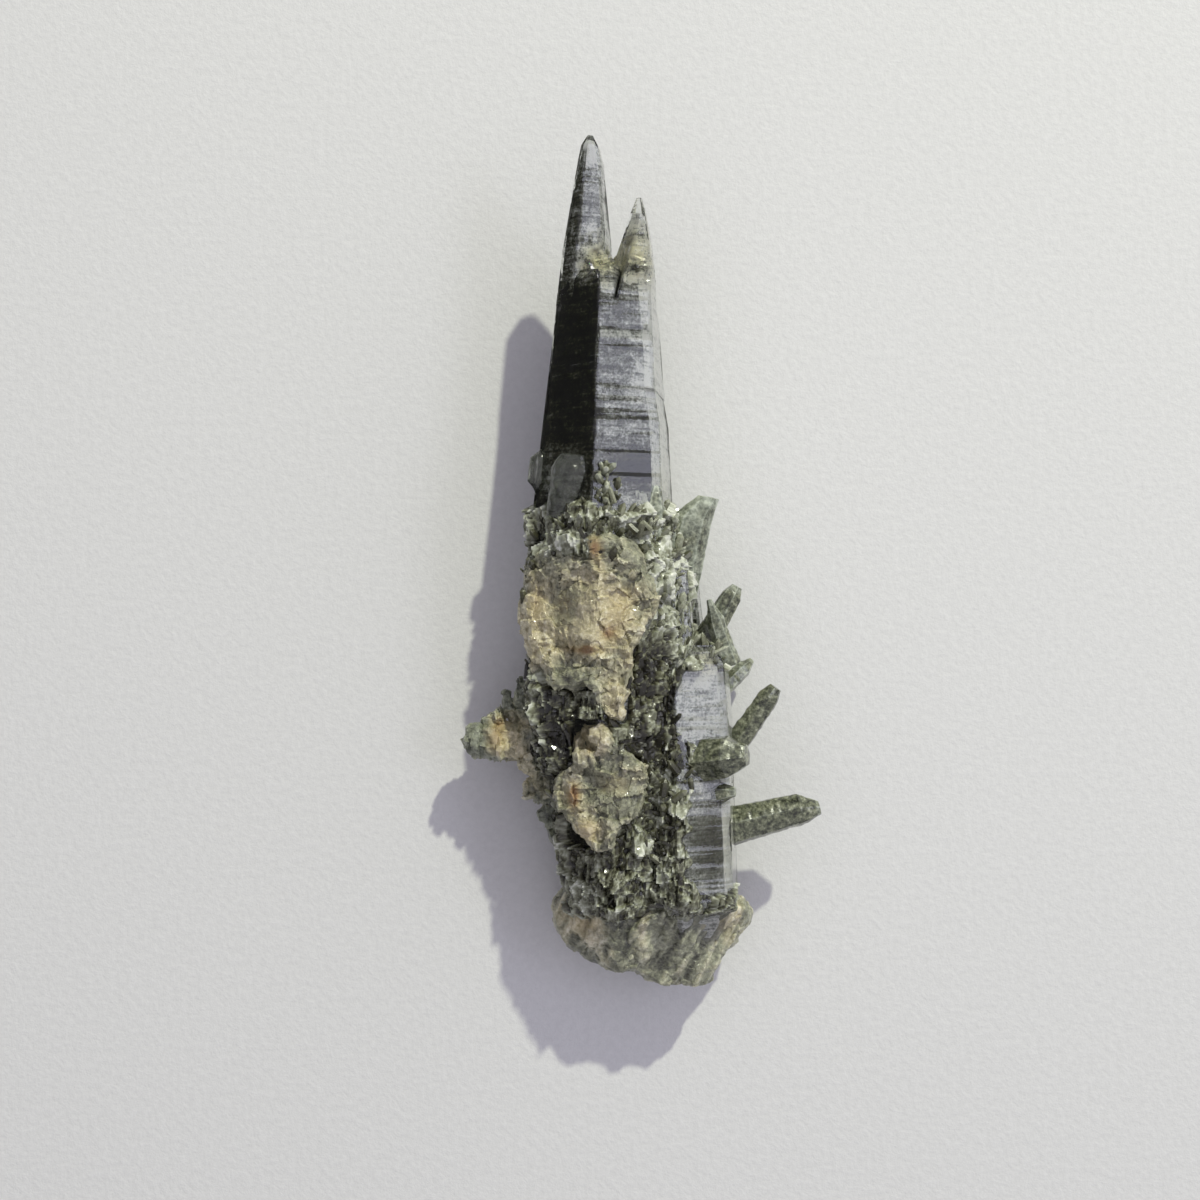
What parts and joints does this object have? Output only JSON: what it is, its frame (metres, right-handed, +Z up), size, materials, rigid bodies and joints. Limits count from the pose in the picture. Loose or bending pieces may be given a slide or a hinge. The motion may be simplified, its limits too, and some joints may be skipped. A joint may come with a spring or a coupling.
{
  "type": "quartz crystal cluster",
  "caption": "Lying cluster of tapering six-sided quartz crystals grown together, with smaller side crystals, a druse crust, broken contact scars and a broken root.",
  "frame": {"origin": "centre of the bounding box in X and Y, at the height of the surface that the cluster rests on", "axes": "+Y along the main crystals towards their points, +Z up, +X to the right when seen from above with the points away from the viewer"},
  "size_m": [0.0424, 0.0986, 0.0215],
  "materials": {
    "chlorite_quartz": "glossy crystal faces, dark green where chlorite shows through, cream and rust on the broken scars"
  },
  "bodies": {
    "root": {"quartz_cluster": "chlorite_quartz"}
  },
  "joints": []
}
